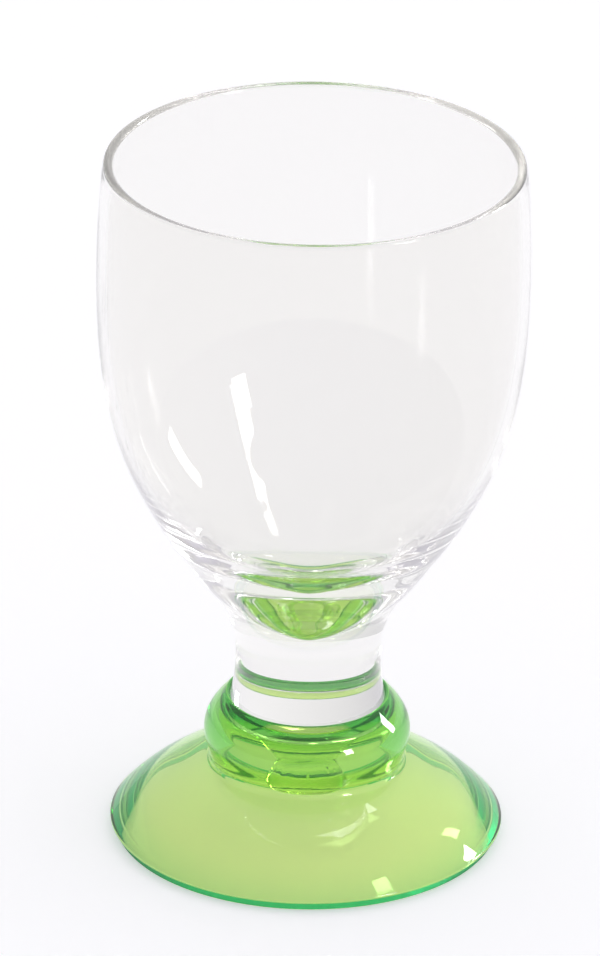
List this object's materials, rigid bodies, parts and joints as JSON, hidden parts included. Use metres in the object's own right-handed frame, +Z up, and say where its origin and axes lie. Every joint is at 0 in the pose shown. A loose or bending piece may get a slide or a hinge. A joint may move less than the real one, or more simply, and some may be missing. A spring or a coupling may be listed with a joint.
{
  "type": "wine glass",
  "caption": "Short-stemmed wine glass with a clear moulded bowl cemented into a green see-through foot with a round collar.",
  "frame": {"origin": "middle of the flat ring that the glass rests on, at table height", "axes": "+Z up along the axis of the glass, from foot to lip; the glass is round, so X and Y are any level directions"},
  "size_m": [0.0768, 0.0768, 0.13],
  "materials": {
    "clear_plastic": "clear, polished",
    "green_plastic": "see-through green, polished",
    "clear_cement": "clear, with fine bubbles"
  },
  "bodies": {
    "root": {"bowl": "clear_plastic", "foot": "green_plastic", "cement_film": "clear_cement", "cement_plug": "clear_cement"}
  },
  "joints": []
}
